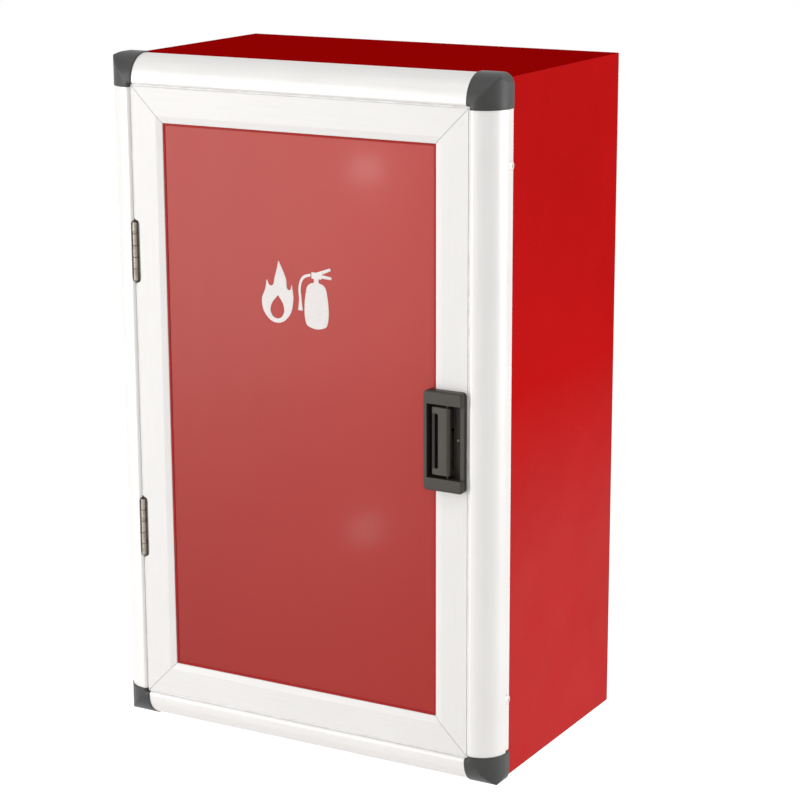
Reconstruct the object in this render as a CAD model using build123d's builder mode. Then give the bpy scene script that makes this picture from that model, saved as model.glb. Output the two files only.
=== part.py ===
"""Wall-hung fire extinguisher cabinet: a folded steel box with a hollow rounded aluminium
frame, plastic corner caps, a mitred aluminium door with a red panel, two butt hinges and a
flush pull latch.  Millimetres, +X right, +Y to the wall, +Z up, origin on the wall plane at
the centre of the back panel."""
from build123d import *
import os
from math import cos, radians, sin, tan

# Overall sizes
cabinet_width = 410.0
cabinet_height = 650.0
face_depth = 252.0          # wall to the door's front face

# Steel box
sheet = 1.2
box_inset = 3.5             # box side in from the frame's outermost line
return_flange = 14.0        # folded inwards behind the frame
seam_flange = 12.0          # folded for the spot-welded seams
seam_relief = 2.0
bend_radius = 1.6
bolt_hole_radius = 4.5
bolt_spacing_x = 250.0
bolt_spacing_z = 450.0

# Rounded frame extrusion: u runs outwards from the opening, v backwards from the door face
nose_width = 27.0
crown_height = 2.2
crown_from_edge = 3.0
nose_depth = 22.0
shoulder_side = 0.1         # least straight side behind the shoulder's arc
frame_wall = 1.4
lap_depth = 10.0            # flange that laps the box side
lap_wall = 1.5
stop_lip = 10.0

# Corner caps
cap_proud = 0.8
cap_wall = 2.0
cap_corner_radius = 11.0
cap_arm = 3.0               # past the opening's corner, along each extrusion
cap_skirt = 6.0             # back round the box, behind the extrusions
cap_box_clearance = 0.3
plug_length = 18.0
plug_clearance = 0.3
plug_wall = 2.0

# Door
door_gap = 2.0
door_thickness = 18.0
stile_width = 32.5
bevel_width = 6.5
bevel_drop = 1.5
bead_lip = 0.9
bead_rounding = 0.5
stile_wall = 1.4
panel_thickness = 4.0
panel_bite = 9.0            # how far the panel goes under the bevel
panel_clearance = 0.2
seal_width = 7.0
seal_inset = 1.5
seal_clearance = 0.3

# Hinges
hinge_length = 56.0
hinge_heights = {"upper": 141.0, "lower": -129.0}
knuckle_radius = 2.3
knuckle_count = 5
knuckle_gap = 0.3
hinge_pin_radius = 1.0
running_clearance = 0.05
leaf_thickness = 0.9
leaf_depth = 14.0
hinge_slot_width = 8.4
hinge_slot_shift = 1.2      # the slots reach further into the door than into the frame
hinge_slot_margin = 2.0

# Pull latch
housing_width = 40.0
housing_height = 92.0
housing_edge_gap = 0.5      # housing edge in from the door's free edge
housing_proud = 8.5
housing_corner = 4.0
bezel_rounding = 2.5
bezel_side = 4.0
bezel_end = 12.0
rim_drop = 3.5              # the right rim is lower than the bezel
recess_floor = 8.5          # behind the door face
scoop_edge = 1.5            # scoop's edges and its deepest line, behind the door face
scoop_floor = 4.5
pocket_wall = 2.0
body_clearance = 0.3
latch_back = 28.0           # rear of the housing behind the door face
lever_left_gap = 4.0
lever_end_gap = 2.6
lever_width = 18.6
lever_recess = 1.0          # lever face below the bezel face
lever_thickness = 5.0
lever_fall = 1.0            # the lever's face falls away towards its grip
barrel_radius = 3.4
lever_pin_radius = 1.25
grip_bar = 3.3
grip_rounding = 1.2
lever_chamfer = 0.7
finger_slot = 3.6
finger_slot_end = 6.0
arm_height = 14.0
arm_thickness = 5.0
arm_side_gap = 2.0
arm_rest_gap = 0.8          # at rest, on the side it swings away from
rear_clearance = 3.0        # latch case to the frame's stop lip
lever_swing = 30.0
tongue_thickness = 5.0
tongue_reach_gap = 0.5      # tongue nose to the frame's stop lip

# Worked out from the sizes above
half_width = cabinet_width / 2
half_height = cabinet_height / 2
open_half_width = half_width - nose_width
open_half_height = half_height - nose_width
box_half_width = half_width - box_inset
box_half_height = half_height - box_inset
front = -face_depth
frame_back = front + nose_depth
door_half_width = open_half_width - door_gap
door_half_height = open_half_height - door_gap

os.makedirs("parts", exist_ok=True)


def save(piece, label):
    """Label a finished solid and write it to its own file."""
    piece.label = label
    export_step(piece, f"parts/{label}.step")


def block(x_range, y_range, z_range):
    """A box between two corners, for use inside a part block."""
    spans = (x_range, y_range, z_range)
    centre = tuple((low + high) / 2 for low, high in spans)
    lengths = tuple(high - low for low, high in spans)
    with Locations(centre):
        solid = Box(*lengths)
    return solid


# Steel box


def side_sheet(side):
    """A box side: flat web with a return flange folded inwards behind the frame."""
    outer = side * box_half_width
    inner = side * (box_half_width - sheet)
    tip = side * (box_half_width - return_flange)
    with BuildPart() as web:
        with BuildSketch(Plane.XY.offset(-box_half_height)):
            with BuildLine():
                Polyline(
                    (outer, 0),
                    (outer, frame_back),
                    (tip, frame_back),
                    (tip, frame_back + sheet),
                    (inner, frame_back + sheet),
                    (inner, 0),
                    close=True,
                )
            make_face()
        extrude(amount=2 * box_half_height)
        fold = web.edges().filter_by(Axis.Z).filter_by_position(Axis.Y, frame_back - 0.1, frame_back + 0.1)
        fillet(fold.sort_by(Axis.X)[-1 if side > 0 else 0], bend_radius)
        flange_end = return_flange + seam_relief
        for end in (-1, 1):
            z_near = end * (box_half_height - flange_end)
            z_far = end * (box_half_height + 1)
            with Locations((side * (box_half_width - sheet - return_flange / 2),
                            frame_back + sheet / 2, (z_near + z_far) / 2)):
                Box(return_flange, 2 * sheet, abs(z_far - z_near), mode=Mode.SUBTRACT)
    return web.part


def level_sheet(end):
    """Top or bottom of the box: seam flanges at its ends and a return flange in front."""
    outer = end * box_half_height
    inner = end * (box_half_height - sheet)
    half = box_half_width - sheet
    seam_tip = end * (box_half_height - seam_flange)
    front_tip = end * (box_half_height - return_flange)
    with BuildPart() as level:
        block((-half, half), (frame_back, 0), sorted((outer, inner)))
        block((-half, half), (frame_back, frame_back + sheet), sorted((outer, front_tip)))
        seam_front = frame_back + sheet + seam_relief
        seam_back = -sheet - seam_relief
        for side in (-1, 1):
            seam = sorted((side * half, side * (half - sheet)))
            block(seam, (seam_front, seam_back), sorted((outer, seam_tip)))
        long_edges = level.edges().filter_by(Axis.X)
        fold = long_edges.filter_by_position(Axis.Z, outer - 0.1, outer + 0.1)
        fillet(fold.sort_by(Axis.Y)[0], bend_radius)
    return level.part


with BuildPart() as back_panel:
    half_x = box_half_width - sheet
    half_z = box_half_height - sheet
    block((-half_x, half_x), (-sheet, 0), (-half_z, half_z))
    clear = seam_flange + sheet + seam_relief
    for side in (-1, 1):
        block(sorted((side * half_x, side * (half_x - sheet))), (-seam_flange, 0),
              (clear - half_z, half_z - clear))
        block((clear - half_x, half_x - clear), (-seam_flange, 0),
              sorted((side * half_z, side * (half_z - sheet))))
    with BuildSketch(Plane.XZ.offset(-1)):
        with GridLocations(bolt_spacing_x, bolt_spacing_z, 2, 2):
            Circle(bolt_hole_radius)
    extrude(amount=sheet + 2, mode=Mode.SUBTRACT)

save(side_sheet(-1), "left_side")
save(side_sheet(1), "right_side")
save(level_sheet(1), "top_panel")
save(level_sheet(-1), "bottom_panel")
save(back_panel.part, "back_panel")


# Rounded frame


def nose_outline(grow=0.0, depth=nose_depth):
    """Closed outline of the rounded chamber, grown or shrunk all round."""
    shoulder = min(nose_width - crown_from_edge, nose_depth + crown_height - shoulder_side)
    crown_end = nose_width - shoulder
    with BuildSketch() as nose:
        with BuildLine():
            TangentArc((crown_from_edge, -crown_height), (0, 0), tangent=(-1, 0))
            Line((0, 0), (0, depth))
            Line((0, depth), (nose_width, depth))
            Line((nose_width, depth), (nose_width, shoulder - crown_height))
            RadiusArc((nose_width, shoulder - crown_height), (crown_end, -crown_height), shoulder)
            if crown_end > crown_from_edge:
                Line((crown_end, -crown_height), (crown_from_edge, -crown_height))
        make_face()
        if grow:
            offset(amount=grow, kind=Kind.INTERSECTION)
    return nose.sketch


def section_at(origin, outward):
    """Section plane at a point: x outwards, y to the wall."""
    return Plane(origin=origin, x_dir=outward, z_dir=outward.cross(Vector(0, 1, 0)))


def frame_member(direction, half_across, half_along, lip_cutback, hinge_slots=()):
    """One hollow frame extrusion with its lap flange, stop lip and hinge slots."""
    outline = nose_outline()
    hollow = nose_outline(-frame_wall)
    lap_outer = nose_width - box_inset + lap_wall
    outward = Vector(*direction)
    along = outward.cross(Vector(0, 1, 0))
    section_plane = section_at(outward * half_across - along * half_along + Vector(0, front, 0), outward)
    with BuildPart() as member:
        with BuildSketch(section_plane):
            add(outline)
            with Locations((lap_outer - lap_wall / 2, nose_depth + lap_depth / 2)):
                Rectangle(lap_wall, lap_depth)
            add(hollow, mode=Mode.SUBTRACT)
        extrude(amount=2 * half_along)
        with BuildSketch(section_plane.offset(lip_cutback)):
            with Locations((-stop_lip / 2, nose_depth - frame_wall / 2)):
                Rectangle(stop_lip, frame_wall)
        extrude(amount=2 * (half_along - lip_cutback))
        for height in hinge_slots:
            with BuildSketch(Plane.XZ.offset(-front + 2 * crown_height)):
                with Locations((hinge_x + hinge_slot_shift, height)):
                    SlotOverall(hinge_length + 2 * hinge_slot_margin, hinge_slot_width, rotation=90)
            extrude(amount=-(2 * crown_height + knuckle_radius + hinge_slot_margin), mode=Mode.SUBTRACT)
    return member.part


hinge_x = -(open_half_width - door_gap / 2)

level_half = open_half_width - cap_arm
upright_half = open_half_height - cap_arm
save(frame_member((0, 0, 1), open_half_height, level_half, stop_lip - cap_arm), "frame_top")
save(frame_member((0, 0, -1), open_half_height, level_half, stop_lip - cap_arm), "frame_bottom")
save(frame_member((-1, 0, 0), open_half_width, upright_half, -cap_arm, hinge_heights.values()), "frame_left")
save(frame_member((1, 0, 0), open_half_width, upright_half, -cap_arm), "frame_right")


def mitred_run(corner, outward, along, outline, start, reach):
    """The outline run past the opening's corner and cut on the corner's diagonal."""
    section = section_at(corner + along * start, outward)
    with BuildPart() as run:
        with BuildSketch(section):
            add(outline)
        extrude(amount=(reach - start) * section.z_dir.dot(along))
        split(bisect_by=Plane(origin=corner, z_dir=outward - along), keep=Keep.TOP)
    return run.part


def mitred_corner(corner, x_out, z_out, outline, start, reach, corner_radius):
    """Two mitred runs joined, with the outer corner rounded as seen from in front."""
    runs = [
        mitred_run(corner, x_out, z_out, outline, start, reach),
        mitred_run(corner, z_out, x_out, outline, start, reach),
    ]
    with BuildPart() as joined:
        for run in runs:
            add(run)
        with BuildSketch(Plane(origin=corner, x_dir=x_out, z_dir=x_out.cross(z_out))) as plan:
            with Locations(((start + reach) / 2, (start + reach) / 2)):
                Rectangle(reach - start, reach - start)
            fillet(plan.vertices().sort_by_distance((0, 0))[-1], corner_radius)
        extrude(amount=2 * nose_depth, both=True, mode=Mode.INTERSECT)
    return joined.part


def cap_outline():
    """The nose's outline, grown to stand proud, with a skirt that goes on round the box."""
    grown = nose_outline(cap_proud)
    reach = nose_width + cap_proud
    skirt_inner = nose_width - box_inset + cap_box_clearance
    with BuildSketch() as outline:
        add(grown)
        with Locations((nose_width, 0)):
            Rectangle(2 * nose_width, 2 * nose_depth, mode=Mode.INTERSECT)
        with Locations(((skirt_inner + reach) / 2, nose_depth + cap_skirt / 2)):
            Rectangle(reach - skirt_inner, cap_skirt)
    return outline.sketch


def plug_outline():
    """The ring that slides into a frame member."""
    outer = nose_outline(-frame_wall - plug_clearance)
    inner = nose_outline(-frame_wall - plug_clearance - plug_wall)
    with BuildSketch() as ring:
        add(outer)
        add(inner, mode=Mode.SUBTRACT)
    return ring.sketch


def corner_cap():
    """The top right moulded cap: a mitred copy of the nose, proud of it, on two hollow plugs."""
    corner = Vector(open_half_width, front, open_half_height)
    x_out = Vector(1, 0, 0)
    z_out = Vector(0, 0, 1)
    reach = nose_width + cap_proud
    skin = mitred_corner(corner, x_out, z_out, cap_outline(), -cap_arm, reach, cap_corner_radius)
    inset = cap_wall - cap_proud
    hollow = nose_outline(-inset, nose_depth + inset)
    space = mitred_corner(
        corner, x_out, z_out, hollow, cap_wall - cap_arm, reach - cap_wall, cap_corner_radius - cap_wall
    )
    plug = plug_outline()
    with BuildPart() as cap:
        add(skin)
        add(space, mode=Mode.SUBTRACT)
        for outward, along in ((x_out, z_out), (z_out, x_out)):
            section = section_at(corner - along * cap_arm, outward)
            with BuildSketch(section):
                add(plug)
            extrude(amount=-plug_length * section.z_dir.dot(along))
    return cap.part


right_cap = corner_cap()
left_cap = mirror(right_cap, about=Plane.YZ)
for side_name, top_cap in (("left", left_cap), ("right", right_cap)):
    save(top_cap, f"corner_cap_top_{side_name}")
    save(mirror(top_cap, about=Plane.XY), f"corner_cap_bottom_{side_name}")


# Door


def stile_section():
    """Hollow door extrusion: u runs inwards from the door edge, v backwards from its face."""
    groove_depth = panel_bite + panel_clearance
    groove_front = bevel_drop + bead_lip
    groove_back = groove_front + panel_thickness + 2 * panel_clearance
    groove_foot = stile_width - groove_depth
    with BuildSketch() as section:
        with BuildLine():
            Polyline(
                (0, 0),
                (stile_width - bevel_width, 0),
                (stile_width, bevel_drop),
                (stile_width, groove_front),
                (groove_foot, groove_front),
                (groove_foot, groove_back),
                (stile_width, groove_back),
                (stile_width, door_thickness),
                (0, door_thickness),
                close=True,
            )
        make_face()
        bead_corner = section.vertices().sort_by_distance((stile_width, bevel_drop))[0]
        fillet(bead_corner, bead_rounding)
        chamber_right = groove_foot - stile_wall
        with Locations(((stile_wall + chamber_right) / 2, door_thickness / 2)):
            Rectangle(chamber_right - stile_wall, door_thickness - 2 * stile_wall, mode=Mode.SUBTRACT)
        rear_front = groove_back + stile_wall
        rear_height = door_thickness - stile_wall - rear_front
        rear_width = groove_depth - stile_wall
        with Locations((groove_foot + rear_width / 2, rear_front + rear_height / 2)):
            Rectangle(rear_width, rear_height, mode=Mode.SUBTRACT)
    return section.sketch


def door_member(direction, half_across, half_along, cut=None):
    """One door extrusion with both ends mitred at 45 degrees."""
    section = stile_section()
    outward = Vector(*direction)
    along = outward.cross(Vector(0, 1, 0))
    start = outward * half_across + along * half_along + Vector(0, front, 0)
    with BuildPart() as member:
        with BuildSketch(Plane(origin=start, x_dir=-outward, z_dir=-along)):
            add(section)
        extrude(amount=2 * half_along)
        face = Plane(origin=(0, front, 0), x_dir=along, z_dir=(0, -1, 0))
        flip = 1 if face.y_dir.dot(outward) > 0 else -1
        inner = half_across - stile_width - 5
        with BuildSketch(face):
            with BuildLine():
                Polyline(
                    (-half_along, flip * half_across),
                    (half_along, flip * half_across),
                    (half_along - stile_width - 5, flip * inner),
                    (stile_width + 5 - half_along, flip * inner),
                    close=True,
                )
            make_face()
        extrude(amount=-door_thickness, mode=Mode.INTERSECT)
        if cut is not None:
            add(cut, mode=Mode.SUBTRACT)
    return member.part


housing_x = door_half_width - housing_edge_gap - housing_width / 2
pocket_half_x = housing_width / 2 - bezel_side + pocket_wall
pocket_half_z = housing_height / 2 - bezel_end + pocket_wall

with BuildPart() as latch_opening:
    block(
        (housing_x - pocket_half_x - body_clearance, housing_x + pocket_half_x + body_clearance),
        (front - 1, front + door_thickness + 1),
        (-pocket_half_z - body_clearance, pocket_half_z + body_clearance),
    )

with BuildPart() as hinge_openings:
    for height in hinge_heights.values():
        with BuildSketch(Plane.XZ.offset(-front + 1)):
            with Locations((hinge_x + hinge_slot_shift, height)):
                SlotOverall(hinge_length + 2 * hinge_slot_margin, hinge_slot_width, rotation=90)
        extrude(amount=-(1 + knuckle_radius + hinge_slot_margin))

save(door_member((0, 0, 1), door_half_height, door_half_width), "door_rail_top")
save(door_member((0, 0, -1), door_half_height, door_half_width), "door_rail_bottom")
save(door_member((-1, 0, 0), door_half_width, door_half_height, hinge_openings.part), "door_stile_left")
save(door_member((1, 0, 0), door_half_width, door_half_height, latch_opening.part), "door_stile_right")

with BuildPart() as door_panel:
    panel_front = front + bevel_drop + bead_lip + panel_clearance
    panel_half_x = door_half_width - stile_width + panel_bite
    panel_half_z = door_half_height - stile_width + panel_bite
    block((-panel_half_x, panel_half_x), (panel_front, panel_front + panel_thickness),
          (-panel_half_z, panel_half_z))
    add(latch_opening.part, mode=Mode.SUBTRACT)
save(door_panel.part, "door_panel")


with BuildPart() as door_seal:
    seal_back = frame_back - frame_wall
    seal_front = front + door_thickness + seal_clearance
    with BuildSketch(Plane.XZ.offset(-seal_back)):
        Rectangle(2 * (open_half_width - seal_inset), 2 * (open_half_height - seal_inset))
        inner_inset = seal_inset + seal_width
        Rectangle(2 * (open_half_width - inner_inset), 2 * (open_half_height - inner_inset),
                  mode=Mode.SUBTRACT)
    extrude(amount=seal_back - seal_front)
save(door_seal.part, "door_seal")


# Hinges


def knuckle_spans(height, first):
    """Bottom and top of every second knuckle, from the first named one."""
    pitch = hinge_length / knuckle_count
    foot = height - hinge_length / 2
    return [
        (foot + index * pitch + knuckle_gap / 2, foot + (index + 1) * pitch - knuckle_gap / 2)
        for index in range(first, knuckle_count, 2)
    ]


def hinge_leaf(height, first, wall_side):
    """A leaf in the door gap, rolled round the pin at its own knuckles."""
    face = hinge_x + wall_side * door_gap / 2
    x_range = sorted((face, face - wall_side * leaf_thickness))
    clear = knuckle_radius + knuckle_gap
    with BuildPart() as leaf:
        block(x_range, (front + clear, front + leaf_depth),
              (height - hinge_length / 2, height + hinge_length / 2))
        for low, high in knuckle_spans(height, first):
            block(x_range, (front, front + clear), (low, high))
            with BuildSketch(Plane.XY.offset(low)):
                with Locations((hinge_x, front)):
                    Circle(knuckle_radius)
            extrude(amount=high - low)
        with BuildSketch(Plane.XY.offset(height - hinge_length / 2)):
            with Locations((hinge_x, front)):
                Circle(hinge_pin_radius + running_clearance)
        extrude(amount=hinge_length, mode=Mode.SUBTRACT)
    return leaf.part


for name, height in hinge_heights.items():
    save(hinge_leaf(height, 0, -1), f"{name}_hinge_frame_leaf")
    save(hinge_leaf(height, 1, 1), f"{name}_hinge_door_leaf")
    with BuildPart() as hinge_pin:
        with BuildSketch(Plane.XY.offset(height - hinge_length / 2)):
            with Locations((hinge_x, front)):
                Circle(hinge_pin_radius)
        extrude(amount=hinge_length)
    save(hinge_pin.part, f"{name}_hinge_pin")


# Pull latch

bezel_face = front - housing_proud
lever_face = bezel_face + lever_recess
recess_half_z = housing_height / 2 - bezel_end
recess_left = housing_x - housing_width / 2 + bezel_side
recess_right = housing_x + housing_width / 2 - bezel_side
lever_left = recess_left + lever_left_gap
lever_right = lever_left + lever_width
pivot_x = lever_right - barrel_radius
pivot_y = lever_face + barrel_radius
lever_half_z = recess_half_z - lever_end_gap
tongue_back = front + latch_back - pocket_wall
tongue_front = tongue_back - tongue_thickness
tongue_nose = open_half_width - stop_lip - tongue_reach_gap
rim_front = bezel_face + rim_drop
rim_right = housing_x + housing_width / 2 + 1
pin_half_length = recess_half_z + pocket_wall
swing = radians(lever_swing)
arm_sweep = (front + recess_floor + pocket_wall - pivot_y) * tan(swing) + arm_thickness / 2 / cos(swing)
window_left = pivot_x - arm_sweep - arm_side_gap
scoop_left = pivot_x + arm_thickness / 2 + arm_rest_gap
pocket_back = front + recess_floor + pocket_wall
rear_back = front + latch_back
tongue_sweep = (tongue_back - pivot_y) * sin(swing) + arm_thickness / 2 * cos(swing)
rear_left = pivot_x - tongue_sweep - arm_side_gap - pocket_wall
rear_right = open_half_width - stop_lip - rear_clearance
rear_half_z = arm_height / 2 + 2 * arm_side_gap + pocket_wall

with BuildPart() as lock_housing:
    block(
        (housing_x - housing_width / 2, housing_x + housing_width / 2),
        (bezel_face, front),
        (-housing_height / 2, housing_height / 2),
    )
    fillet(lock_housing.edges().filter_by(Axis.Y), housing_corner)
    fillet(lock_housing.faces().sort_by(Axis.Y)[0].edges(), bezel_rounding)
    block(
        (housing_x - pocket_half_x, housing_x + pocket_half_x),
        (front, pocket_back),
        (-pocket_half_z, pocket_half_z),
    )
    block((rear_left, rear_right), (pocket_back, rear_back), (-rear_half_z, rear_half_z))
    with BuildSketch(Plane.XY.offset(-recess_half_z)):
        with BuildLine():
            Polyline(
                (scoop_left, front + scoop_edge),
                (scoop_left, front + recess_floor),
                (recess_left, front + recess_floor),
                (recess_left, bezel_face - 1),
                (rim_right, bezel_face - 1),
                (rim_right, rim_front),
                (recess_right, rim_front),
                (recess_right, front + scoop_edge),
            )
            ThreePointArc(
                (recess_right, front + scoop_edge),
                ((scoop_left + recess_right) / 2, front + scoop_floor),
                (scoop_left, front + scoop_edge),
            )
        make_face()
    extrude(amount=2 * recess_half_z, mode=Mode.SUBTRACT)
    with Locations(((rear_left + rear_right) / 2, (pocket_back + rear_back) / 2, 0)):
        Box(rear_right - rear_left - 2 * pocket_wall, rear_back - pocket_back,
            2 * (rear_half_z - pocket_wall), mode=Mode.SUBTRACT)
    window_half_z = arm_height / 2 + arm_side_gap
    with Locations(((window_left + scoop_left) / 2, front + recess_floor + pocket_wall / 2, 0)):
        Box(scoop_left - window_left, 2 * pocket_wall, 2 * window_half_z, mode=Mode.SUBTRACT)
    with Locations((rear_right, (tongue_front + rear_back) / 2, 0)):
        Box(4 * pocket_wall, rear_back - tongue_front + 2 * arm_side_gap, 2 * window_half_z,
            mode=Mode.SUBTRACT)
    with BuildSketch(Plane.XY.offset(-pin_half_length)):
        with Locations((pivot_x, pivot_y)):
            Circle(lever_pin_radius + running_clearance)
    extrude(amount=2 * pin_half_length, mode=Mode.SUBTRACT)
save(lock_housing.part, "lock_housing")

with BuildPart() as lock_lever:
    with BuildSketch(Plane.XY.offset(-lever_half_z)):
        with BuildLine():
            TangentArc(
                (pivot_x, lever_face), (lever_left, lever_face + lever_fall), tangent=(-1, 0)
            )
            Polyline(
                (lever_left, lever_face + lever_fall),
                (lever_left, lever_face + lever_thickness),
                (pivot_x, lever_face + lever_thickness),
                (pivot_x, lever_face),
            )
        make_face()
        with Locations((pivot_x, pivot_y)):
            Circle(barrel_radius)
    extrude(amount=2 * lever_half_z)
    grip_edges = lock_lever.edges().filter_by(Axis.Z).sort_by(Axis.X)[:2]
    fillet(grip_edges, grip_rounding)
    end_edges = lock_lever.faces().filter_by(Axis.Z).edges()
    chamfer(end_edges, lever_chamfer)
    slot_x = lever_left + grip_bar + finger_slot / 2
    with BuildSketch(Plane.XZ.offset(-lever_face + 1)):
        with Locations((slot_x, 0)):
            SlotOverall(2 * (lever_half_z - finger_slot_end), finger_slot, rotation=90)
    extrude(amount=-(lever_thickness + 2), mode=Mode.SUBTRACT)
    with BuildSketch(Plane.XY.offset(-arm_height / 2)):
        with BuildLine():
            Polyline(
                (pivot_x - arm_thickness / 2, pivot_y),
                (pivot_x + arm_thickness / 2, pivot_y),
                (pivot_x + arm_thickness / 2, tongue_front),
                (tongue_nose, tongue_front),
                (tongue_nose - tongue_thickness / 2, tongue_back),
                (pivot_x - arm_thickness / 2, tongue_back),
                close=True,
            )
        make_face()
    extrude(amount=arm_height)
    with BuildSketch(Plane.XY.offset(-lever_half_z)):
        with Locations((pivot_x, pivot_y)):
            Circle(lever_pin_radius + running_clearance)
    extrude(amount=2 * lever_half_z, mode=Mode.SUBTRACT)
save(lock_lever.part, "lock_lever")

with BuildPart() as lever_pin:
    with BuildSketch(Plane.XY.offset(-pin_half_length)):
        with Locations((pivot_x, pivot_y)):
            Circle(lever_pin_radius)
    extrude(amount=2 * pin_half_length)
save(lever_pin.part, "lever_pin")
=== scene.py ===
"""Wall-hung fire extinguisher cabinet: finishes, small fittings, sign, light and camera."""
from math import cos, pi, radians, sin

import bmesh
import bpy
from bpy.props import FloatProperty, FloatVectorProperty, IntProperty, PointerProperty
from mathutils import Matrix, Vector


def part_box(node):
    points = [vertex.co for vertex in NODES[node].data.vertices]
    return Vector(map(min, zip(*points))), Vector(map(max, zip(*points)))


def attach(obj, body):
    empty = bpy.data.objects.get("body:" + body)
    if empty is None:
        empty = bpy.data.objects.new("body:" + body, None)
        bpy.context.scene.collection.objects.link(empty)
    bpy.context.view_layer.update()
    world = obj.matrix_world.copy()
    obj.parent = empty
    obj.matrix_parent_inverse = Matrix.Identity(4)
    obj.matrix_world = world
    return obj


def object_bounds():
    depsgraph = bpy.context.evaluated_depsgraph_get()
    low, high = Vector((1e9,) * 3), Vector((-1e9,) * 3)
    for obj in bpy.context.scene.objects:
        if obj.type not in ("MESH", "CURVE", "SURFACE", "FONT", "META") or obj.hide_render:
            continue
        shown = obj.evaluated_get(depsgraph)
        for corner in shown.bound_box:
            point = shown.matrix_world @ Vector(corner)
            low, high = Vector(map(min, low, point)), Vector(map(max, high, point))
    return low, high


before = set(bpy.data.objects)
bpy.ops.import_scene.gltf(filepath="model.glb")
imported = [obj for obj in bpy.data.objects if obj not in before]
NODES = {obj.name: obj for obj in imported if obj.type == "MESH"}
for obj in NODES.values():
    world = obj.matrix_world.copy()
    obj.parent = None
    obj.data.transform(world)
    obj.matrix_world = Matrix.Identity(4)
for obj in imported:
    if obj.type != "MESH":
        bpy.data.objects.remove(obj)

bl_info = {
    "name": "Extinguisher cabinet",
    "version": (1, 0, 0),
    "blender": (4, 5, 0),
    "location": "3D View > Sidebar > Cabinet",
    "description": "Finishes, fittings and studio stage for a wall-hung extinguisher cabinet",
    "category": "Add Mesh",
}

CAD_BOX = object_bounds()

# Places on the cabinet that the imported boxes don't give directly, in metres
LAP_FACE_X = 0.2030                             # outer face of the frame's lap flange
LAP_MIDDLE_Y = -0.2250
PANEL_FACE_Y = -0.2494
PANEL_EDGE_X = 0.1435                           # where the door's bevel meets the panel
PANEL_EDGE_Z = 0.2635
DOOR_EDGE_X = 0.1760
DOOR_EDGE_Z = 0.2960
EDGE_SEAL_BACK_Y = -0.2504
LATCH_SCREW_SEAT = (0.1648, -0.24785, 0.0)      # on the left slope of the latch's scoop
LATCH_SCREW_FACING = (0.37, -0.93, 0.0)
LATCH_SHADE_Y = (-0.2550, -0.2505)              # where painted shade in the latch's recess starts and is darkest
GRIP_WIDTH = 0.0040                             # from the lever's left edge into its finger slot
GRIP_HALF_HEIGHT = 0.0250
GRIP_FADE_X = 0.0005                            # how far the grip's painted shade fades beyond its edges
GRIP_FADE_Z = 0.0010
FLOOR_REFLECTION_Z = (0.04, -0.14)                          # where the painted floor reflection on the box starts and is strongest
HINGE_LEAF_SCREW_Y = -0.2430
HINGE_KNUCKLES = 5

# Distances from a joint's middle at which its dirt is full and at which it ends, in metres
KNUCKLE_JOINT = (0.0003, 0.0009)
MITRE_JOINT = (0.00018, 0.00045)

# Gasket and edge seal: the breadth and depth of their gaps in metres, and what sets the height
LATCH_GAP = (0.020, 0.010)
LATCH_GAP_SHARE = 0.9                           # of the latch's height
HINGE_GAP = (0.012, 0.012)
HINGE_GAP_SPARE = 0.006                         # beyond the hinge pin's height
FRONT_ROUNDING = 0.45                           # share of their depth that is rounded

# Screws and washer: heights in metres, turns in radians
FLANGE_SCREW_TURNS = (0.35, 0.9, 0.15, 1.2)
HINGE_SCREW_HEIGHT = 0.00008
HINGE_SCREW_RISE = 0.2                          # share of the height that is domed
HINGE_SCREW_TURN = 0.5                          # from one screw to the next
LATCH_SCREW_HEIGHT = 0.0005
LATCH_SCREW_TURN = 0.4
WASHER_HEIGHT = 0.0006
WASHER_DISH = 0.6                               # share of the height that slopes
WASHER_HOLE = 1.05                              # radii, as shares of the screw's
WASHER_RIM = 1.9
ROUND_SIDES = 32
DOME_STEPS = 5
DOME_REACH = 0.86                               # share of the way up to the dome's crown
RECESS_LENGTH = 1.1                             # share of the head's radius
RECESS_WIDTH = 0.20
RECESS_HEIGHT = 1.1                             # share of the head's height
RECESS_TAPER = 0.6                              # breadth at its foot, as a share of its mouth's

# Colours of wear, dirt and small parts, with painted reflection and painted shade among them
PALE_FLOOR_REFLECTION = (0.72, 0.60, 0.58)
RUBBED_PROFILE = (0.66, 0.655, 0.65)
JOINT_DIRT = (0.30, 0.29, 0.28)
RUBBED_SCREW = (0.42, 0.41, 0.40)
THIN_INK = (0.62, 0.30, 0.28)
SCUFFED_INK = (0.62, 0.34, 0.31)
BLACKENED_STEEL = (0.05, 0.048, 0.045)
# Latch screw: steel with a painted pink reflection of the red cabinet
LATCH_SCREW_STEEL_AND_REFLECTION = (0.36, 0.24, 0.22)
# Near-black washer: painted shade for the recess round the latch screw
WASHER_SHADE_BLACK = (0.006, 0.006, 0.006)
WARM_GLOSS = (1.0, 0.95, 0.87)


# Sizes and colours that a user would change


def length(name, description, default):
    """A length property in metres."""
    return FloatProperty(name=name, description=description, default=default, min=0.0, unit="LENGTH")


def colour(name, description, default):
    """A linear colour property."""
    return FloatVectorProperty(
        name=name, description=description, default=default, subtype="COLOR", size=3, min=0.0, max=1.0
    )


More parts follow.
